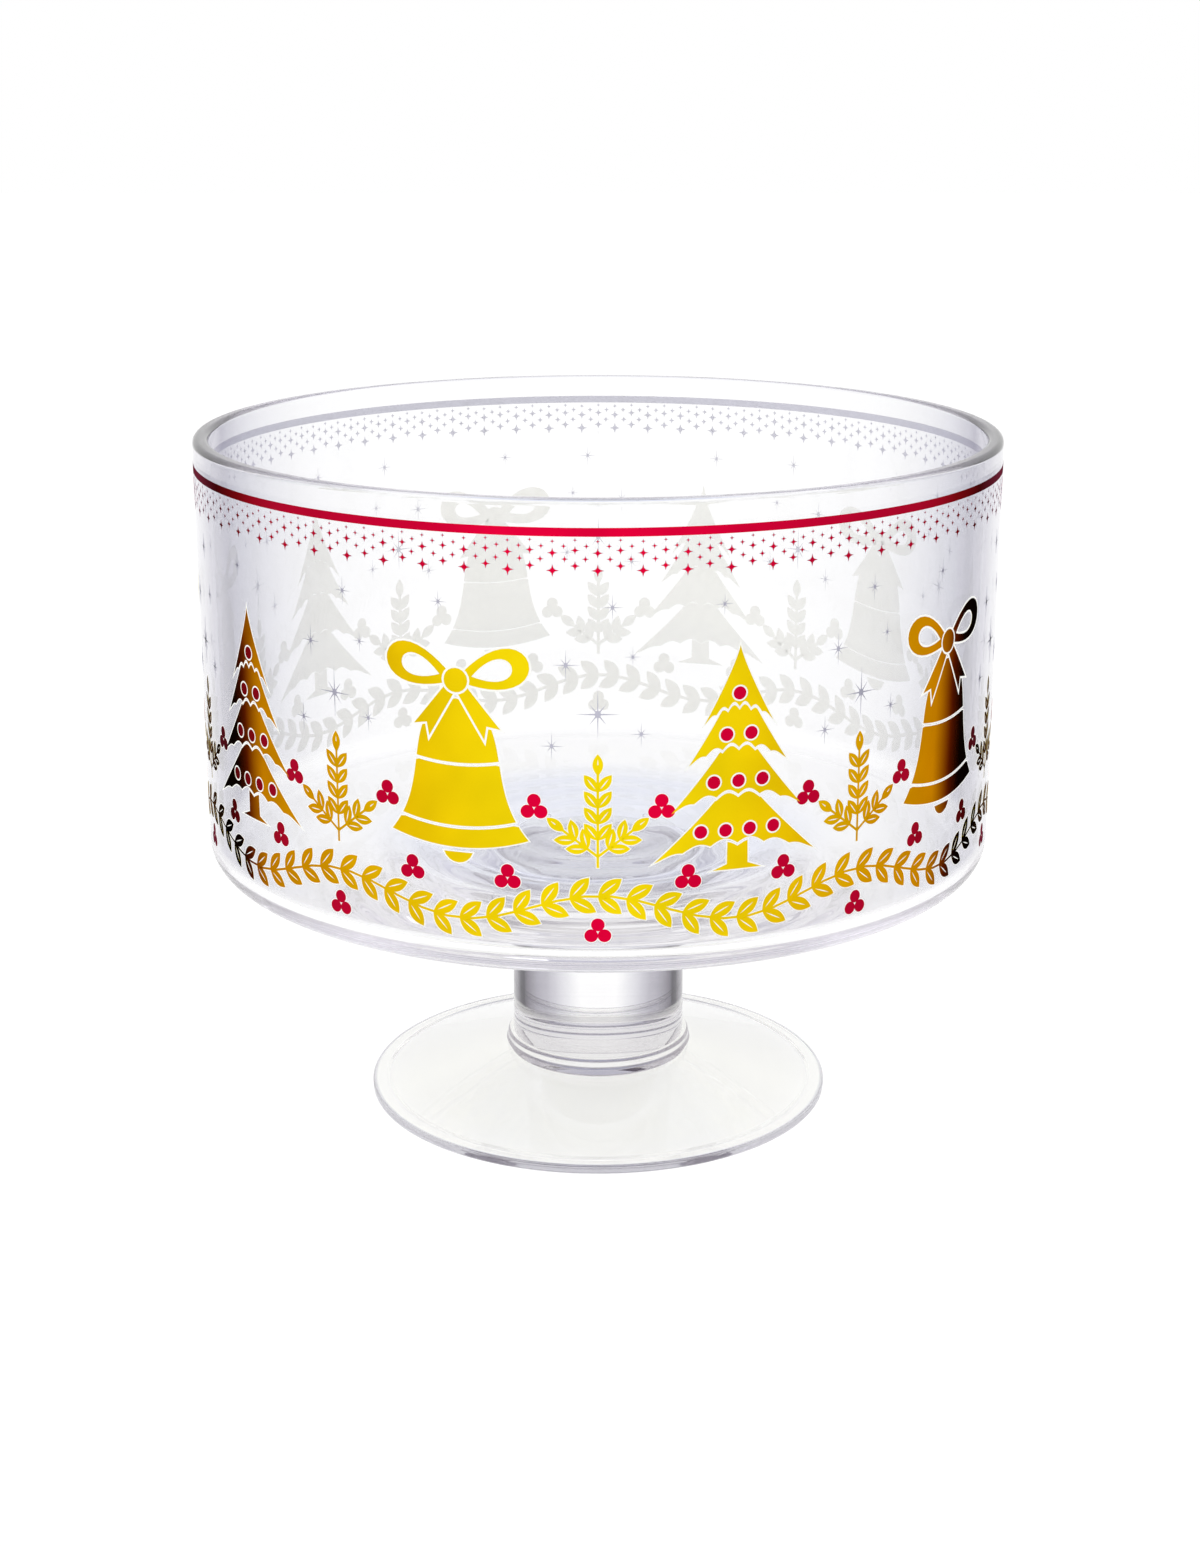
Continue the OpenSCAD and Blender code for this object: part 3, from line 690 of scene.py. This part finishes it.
# Five bells of the same gold hang between the trees. Each has a lip, a belt line and a clapper,
# and a looped bow is laid over its crown with a pale line round it.
bell_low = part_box("gold_bells")[0]
bell_w = 34
bell_h = 0.29 * bowl_h / MM
bow_w = 36
bell_flare = 0.2
bell_flare_power = 4
bell_crown = 0.3
bell_crown_power = 5
mouth_steps = 24
mouth_arc_r = 1.6 * bell_w
mouth_sag = mouth_arc_r - math.sqrt(mouth_arc_r ** 2 - bell_w ** 2 / 4)
clapper_r = 0.11 * bell_w
lip_h = 0.16 * bell_h
belt_h = 0.62 * bell_h
bell_mouth_z = bell_low.z + (mouth_sag + clapper_r) * MM
bow_lift = bell_h + 0.12 * bow_w
loop_l = 0.5 * bow_w
loop_w = 0.52 * loop_l
loop_hole = 0.55
loop_tilt = 16
tail_tilt = -55
tail_l = 0.42 * bow_w
tail_w = 0.13 * bow_w
drop_steps = 28
drop_fullness = 1.3
knot_r = 0.08 * bow_w
bow_halo = 0.5


def bell_half(t):
    """Half width of the bell at height share t."""
    crown = math.sqrt(max(0, 1 - t ** bell_crown_power))
    return bell_w * (bell_flare * (1 - t) ** bell_flare_power + bell_crown * crown)


def mouth_line(x, y):
    """Height of an arc that sags across the bell at height y, as its mouth does."""
    return y - mouth_sag + mouth_arc_r - math.sqrt(mouth_arc_r ** 2 - x * x)


def bell_part(bottom, top):
    """Outline of the bell between two sagging lines. Where top is None it ends in the crown."""
    sides = [(bell_half(i / side_steps), bell_h * i / side_steps) for i in range(side_steps + 1)]
    sides = [(x, y) for x, y in sides if y >= mouth_line(x, bottom)
             and (top is None or y <= mouth_line(x, top))]
    low_x, high_x = sides[0][0], sides[-1][0]
    shares = [2 * i / mouth_steps - 1 for i in range(1, mouth_steps)]
    under = [(low_x * share, mouth_line(low_x * share, bottom)) for share in shares]
    over = []
    if top is not None:
        over = [(-high_x * share, mouth_line(high_x * share, top)) for share in shares]
    left = [(-x, y) for x, y in sides[::-1] if x > 0]
    return [under + sides + over + left]


def turned_flat(points, degrees, mirror=1):
    """Turns flat points about the origin, and mirrors them left to right."""
    c, s = math.cos(math.radians(degrees)), math.sin(math.radians(degrees))
    return [(mirror * (x * c - y * s), x * s + y * c) for x, y in points]


def drop_outline(l, w, start=0):
    """Drop from a point at x = start to a round end. The steps next to the point are left out,
    where its two sides all but touch."""
    turns = [math.tau * i / drop_steps for i in [0] + list(range(3, drop_steps - 2))]
    return [(start + l * (1 - math.cos(turn)) / 2,
             w / 2 * drop_fullness * math.sin(turn) * math.sin(turn / 2)) for turn in turns]


clapper = [(x, y - mouth_sag) for x, y in disc(0, 0, clapper_r)]
clapper = [(x, y) for x, y in clapper if y < mouth_line(x, 0) - gap]
bell_drawings = [bell_part(0, lip_h - gap), bell_part(lip_h, belt_h - gap), bell_part(belt_h, None),
                 [clapper]]
bell_places = [((2 * i + 1.5) * figure_step, bell_mouth_z) for i in range(tree_count)]
bow_drawings = []
tail = [(0, -tail_w / 4), (tail_l, -tail_w / 2), (tail_l - tail_w / 2, 0), (tail_l, tail_w / 2),
        (0, tail_w / 4)]
for side in (1, -1):
    bow_drawings.append([turned_flat(drop_outline(loop_l, loop_w), loop_tilt, side),
                         turned_flat(drop_outline(loop_l * loop_hole, loop_w * loop_hole,
                                                  loop_l * (1 - loop_hole) / 2), loop_tilt, side)])
    bow_drawings.append([turned_flat(tail, tail_tilt, side)])
bow_places = [(turn, z + bow_lift * MM) for turn, z in bell_places]
bell_sets = [(bell_drawings, bell_places, gold_halo, 0), (bow_drawings, bow_places, bow_halo, 1),
             ([[disc(0, 0, knot_r)]], bow_places, bow_halo, 2)]
transfer("gold_bell_foil", bell_sets, gold_layers, "gold_bells")

# Garland

# A wavy twig of fired gold with pairs of pointed leaves runs all round the wall under the
# figures. Each leaf is slit along its midrib.
leaf_l = 7
leaf_w = 3.3
leaf_angle = 38
leaf_pairs = 10
twig_w = 0.6
rib_w = 0.28
rib_from = 0.16
rib_l = 0.62
leaf_steps = 10
garland_swing = 0.06 * bowl_h
garland_foot_z = base_z + 0.125 * bowl_h
figure_count = 2 * tree_count
twig_l = math.tau * wall_mm / figure_count / leaf_pairs
leaf_halo = 0.2


def garland_z(turn):
    """Height of the garland's twig, turn degrees round from the front."""
    return garland_foot_z + garland_swing * (1 + math.cos(math.radians(figure_count * turn))) / 2


def garland_tilt(turn):
    """Slope of the garland's twig, in degrees."""
    rise = -garland_swing / 2 * figure_count * math.sin(math.radians(figure_count * turn))
    return math.degrees(math.atan(rise / bowl_r))


def leaf(l, w, angle, x=0, y=0):
    """A pointed leaf from x, y with a slit along its midrib."""
    blade, slit = [], []
    for i in range(leaf_steps + 1):
        t = i / leaf_steps
        bulge = 2 * t * (1 - t)
        blade.append((l * t, w * bulge))
        slit.append((l * (rib_from + rib_l * t), rib_w * bulge))
    blade += [(px, -py) for px, py in blade[-2:0:-1]]
    slit += [(px, -py) for px, py in slit[-2:0:-1]]
    return [[(px + x, py + y) for px, py in turned_flat(part, angle)] for part in (blade, slit)]


def bar(x0, y0, x1, y1, w):
    """A straight thin twig."""
    along = Vector((x1 - x0, y1 - y0)).normalized() * w / 2
    return [[(x0 + along.y, y0 - along.x), (x1 + along.y, y1 - along.x),
             (x1 - along.y, y1 + along.x), (x0 - along.y, y0 + along.x)]]


garland_turns = [i * figure_step / leaf_pairs for i in range(figure_count * leaf_pairs)]
garland_sets = []
for k in range(leaf_pairs):
    tilt = garland_tilt(garland_turns[k])
    rise = math.tan(math.radians(tilt)) * twig_l / 2
    pair = [bar(-twig_l / 2, -rise, twig_l / 2, rise, twig_w)]
    pair += [leaf(leaf_l, leaf_w, tilt + side * leaf_angle) for side in (1, -1)]
    places = [(turn, garland_z(turn)) for turn in garland_turns[k::leaf_pairs]]
    garland_sets.append((pair, places, leaf_halo, 0))
transfer("gold_garland_foil", garland_sets, gold_layers, "gold_garland")

# Sprigs

# A leafy gold twig stands over each crest of the garland, with a side twig to its left and
# right. It is of the garland's gold, laid and fired with it.
sprig_h = 0.24 * bowl_h / MM
side_twig_l = 15
side_twig_angle = 52
side_twig_foot = 0.1 * sprig_h
sprig_leaf_share = 0.74
sprig_leaf_l = sprig_leaf_share * leaf_l
sprig_leaf_w = sprig_leaf_share * leaf_w
sprig_bare = 0.3
sprig_foot_z = garland_z(0) + leaf_l * MM


def leafy_twig(l, pairs, angle, foot):
    """A twig that leaves the point (0, foot) at an angle from upright, with its leaves."""
    lean = math.radians(angle)
    run, climb = -math.sin(lean), math.cos(lean)
    bare_l = l - sprig_leaf_l / 2
    drawings = [bar(0, foot, run * bare_l, foot + climb * bare_l, twig_w)]
    for i in range(pairs):
        d = (sprig_bare + (1 - sprig_bare) * i / pairs) * (l - sprig_leaf_l)
        for side in (1, -1):
            drawings.append(leaf(sprig_leaf_l, sprig_leaf_w, 90 + angle + side * leaf_angle,
                                 run * d, foot + climb * d))
    d = l - sprig_leaf_l
    drawings.append(leaf(sprig_leaf_l, sprig_leaf_w, 90 + angle, run * d, foot + climb * d))
    return drawings


sprig = leafy_twig(sprig_h, 4, 0, 0)
for side in (1, -1):
    sprig += leafy_twig(side_twig_l, 2, side * side_twig_angle, side_twig_foot)
sprig_places = [(i * figure_step, sprig_foot_z) for i in range(figure_count)]
transfer("gold_sprig_foil", [(sprig, sprig_places, leaf_halo, 0)], gold_layers, "gold_sprigs")

# Berries

# Berries of the band's red enamel sit in threes beside the garland and at the sprigs' tips,
# and single baubles fill the holes in the trees.
berry_d = 3.2
cluster_r = 1.12 * berry_d / 2
cluster_places = [(0, -1), (-0.32, 1), (0.32, 1)]
cluster_lift = 1.25 * leaf_l
tip_reach = side_twig_l + 1.15 * berry_d
berry_halo = 0.2
cluster = [[disc(-cluster_r * math.sin(turn), cluster_r * math.cos(turn), berry_d / 2)]
           for turn in (0, math.tau / 3, 2 * math.tau / 3)]
berry_turns = [((i + across) * figure_step, side) for i in range(figure_count)
               for across, side in cluster_places]
berry_spots = [(turn, garland_z(turn) + side * cluster_lift * MM) for turn, side in berry_turns]
tip_turn = math.degrees(tip_reach * math.sin(math.radians(side_twig_angle)) / wall_mm)
tip_z = sprig_foot_z + (side_twig_foot + tip_reach * math.cos(math.radians(side_twig_angle))) * MM
berry_spots += [(i * figure_step + side * tip_turn, tip_z) for i in range(figure_count)
                for side in (-1, 1)]
bauble_spots = [(turn + math.degrees(x / wall_mm), z + y * MM) for turn, z in tree_places
                for x, y in baubles]
berry_sets = [(cluster, berry_spots, berry_halo, 0),
              ([[disc(0, 0, bauble_r)]], bauble_spots, gap / 4, 0)]
transfer("red_berry_enamel", berry_sets, (red_enamel, white_underprint), "red_berries")

# Silver stars

# Eight-pointed sparkles of several sizes are scattered between and over the figures. They are
# of fired silver on a grey underprint, laid as the gold is.
# The ramp holds the silver's grey and a painted shade towards the sides.
SILVER_AND_SHADE_TONES = [(0.05, "#b9b8c6"), (0.5, "#8e8c9c"), (0.9, "#4c4a5a")]
silver_rough = 0.3

# Fired silver: a dull grey gleam, with a painted shade that darkens it where the wall turns
# away from the view.
silver_layers = (fired_layer("fired_silver", SILVER_AND_SHADE_TONES, 1, silver_rough), grey_underprint)
spark_h = 12
spark_drop = 16
spark_top = bowl_h - (spark_drop + border_star) * MM
spark_core = 0.13
spark_side = 0.55
spark_w = 0.8

# The sparkles of a figure's width: share of it across, share of the height, share of the
# largest one's size.
spark_group = [(0.05, 0.94, 0.5), (0, 0.68, 1), (-0.11, 0.8, 0.62), (0.15, 0.63, 0.5),
               (-0.16, 0.6, 0.56), (0.12, 0.82, 0.4), (0.44, 0.94, 0.45)]
spark_sets = []
for across, up, share in spark_group:
    ring = [((i + across) * figure_step, base_z + up * spark_top) for i in range(figure_count)]
    spark_sets.append(([[star(share * spark_h, 8, spark_core, 0, spark_side, spark_w)]], ring, 0, 0,
                       [[star(share * spark_h, 8, spark_core, border_halo, spark_side, spark_w)]]))
transfer("silver_star_foil", spark_sets, silver_layers, "silver_stars")

# Studio

# A white paper floor runs on into a white backdrop, which the glass and the metal mirror too.
# Two weak soft boxes stand over the bowl, and most of the light comes from all round.
FLOOR_HEX = "#e7e7e7"
FLOOR_SEEN_HEX = "#808080"
SKY_TONES = [(0.42, "#ffffff"), (0.6, "#e4e4ec"), (1, "#cccbd9")]
white = (1, 1, 1, 1)
sky_strength = 1
world_strength = 1.05
floor_glow = 0.82
floor_size = 4
floor_gap = 0.08 * MM
camera_place = (0.0005, -0.6478, 0.2829)
camera_tilt = math.radians(90 - 16.64)
camera_lens = 57.74
camera_clip = 0.01
light_bounces = 96
lamp_size = 0.8
lamp_aim = Vector((0, 0, 0.1))

scene = bpy.context.scene
floor_bm = bmesh.new()
bmesh.ops.create_grid(floor_bm, x_segments=1, y_segments=1, size=floor_size,
                      matrix=Matrix.Translation((0, 0, -floor_gap)))
floor_mesh = bpy.data.meshes.new("studio_floor")
floor_bm.to_mesh(floor_mesh)
floor_bm.free()
floor = bpy.data.objects.new("studio_floor", floor_mesh)
scene.collection.objects.link(floor)

# Matt white paper. The camera, gloss and glass see it glow near white, with the bowl's faint
# shadow, and the rest of the light finds a plain pale floor.
floor_paper, floor_output = new_material("white_paper_floor")
ray = add_node(floor_paper, "ShaderNodeLightPath")
seen_a = add_node(floor_paper, "ShaderNodeMath", {"operation": "MAXIMUM"},
                  links={0: (ray, "Is Camera Ray"), 1: (ray, "Is Glossy Ray")})
seen = add_node(floor_paper, "ShaderNodeMath", {"operation": "MAXIMUM"},
                links={0: (seen_a, 0), 1: (ray, "Is Transmission Ray")})
glow_level = add_node(floor_paper, "ShaderNodeMath", {"operation": "MULTIPLY"}, {1: floor_glow},
                      {0: (seen, 0)})
glow = add_node(floor_paper, "ShaderNodeEmission", inputs={"Color": white},
                links={"Strength": (glow_level, 0)})
paper = add_node(floor_paper, "ShaderNodeMix", {"data_type": "RGBA"},
                 {6: linear(FLOOR_HEX), 7: linear(FLOOR_SEEN_HEX)}, {0: (seen, 0)})
matt = add_node(floor_paper, "ShaderNodeBsdfDiffuse", links={"Color": (paper, 2)})
both = add_node(floor_paper, "ShaderNodeAddShader", links={0: (glow, 0), 1: (matt, 0)})
floor_paper.node_tree.links.new(both.outputs[0], floor_output.inputs["Surface"])
floor_mesh.materials.append(floor_paper)

world = bpy.data.worlds.new("white_studio")
world.use_nodes = True
world.node_tree.nodes.clear()
scene.world = world
world_output = add_node(world, "ShaderNodeOutputWorld")
world_ray = add_node(world, "ShaderNodeLightPath")
world_place = add_node(world, "ShaderNodeTexCoord")
split = add_node(world, "ShaderNodeSeparateXYZ", links={"Vector": (world_place, "Generated")})
sky = add_node(world, "ShaderNodeValToRGB", links={"Fac": (split, "Z")})
set_tones(sky, SKY_TONES)
seen_in_glass = add_node(world, "ShaderNodeBackground", inputs={"Strength": sky_strength},
                         links={"Color": (sky, "Color")})
seen_by_camera = add_node(world, "ShaderNodeBackground",
                          inputs={"Color": white, "Strength": sky_strength})
light = add_node(world, "ShaderNodeBackground", inputs={"Color": white, "Strength": world_strength})
is_mirrored = add_node(world, "ShaderNodeMath", {"operation": "MAXIMUM"},
                       links={0: (world_ray, "Is Glossy Ray"), 1: (world_ray, "Is Transmission Ray")})
lit_or_mirrored = add_node(world, "ShaderNodeMixShader",
                           links={0: (is_mirrored, 0), 1: (light, 0), 2: (seen_in_glass, 0)})
backdrop = add_node(world, "ShaderNodeMixShader",
                    links={0: (world_ray, "Is Camera Ray"), 1: (lit_or_mirrored, 0),
                           2: (seen_by_camera, 0)})
world.node_tree.links.new(backdrop.outputs[0], world_output.inputs["Surface"])

# A square soft box faces the middle of the bowl from each place, with its power in watts.
for name, place, watts in (("soft_box_left", (-0.9, -0.6, 1.1), 3),
                           ("soft_box_right", (0.9, 0.3, 1.1), 2)):
    lamp = bpy.data.lights.new(name, "AREA")
    lamp.size = lamp_size
    lamp.energy = watts
    box = bpy.data.objects.new(name, lamp)
    box.location = place
    box.rotation_euler = (lamp_aim - Vector(place)).to_track_quat("-Z", "Y").to_euler()
    scene.collection.objects.link(box)

camera_data = bpy.data.cameras.new("camera")
camera_data.lens = camera_lens
camera_data.clip_start = camera_clip
camera = bpy.data.objects.new("camera", camera_data)
camera.location = camera_place
camera.rotation_euler = (camera_tilt, 0, 0)
scene.collection.objects.link(camera)
scene.camera = camera
scene.view_settings.view_transform = "Standard"

# Light crosses the thick rim and base many times, and they go dark with fewer bounces.
scene.cycles.max_bounces = light_bounces
scene.cycles.glossy_bounces = light_bounces
scene.cycles.transmission_bounces = light_bounces
scene.cycles.transparent_max_bounces = light_bounces
scene.cycles.caustics_refractive = False
scene.cycles.caustics_reflective = False
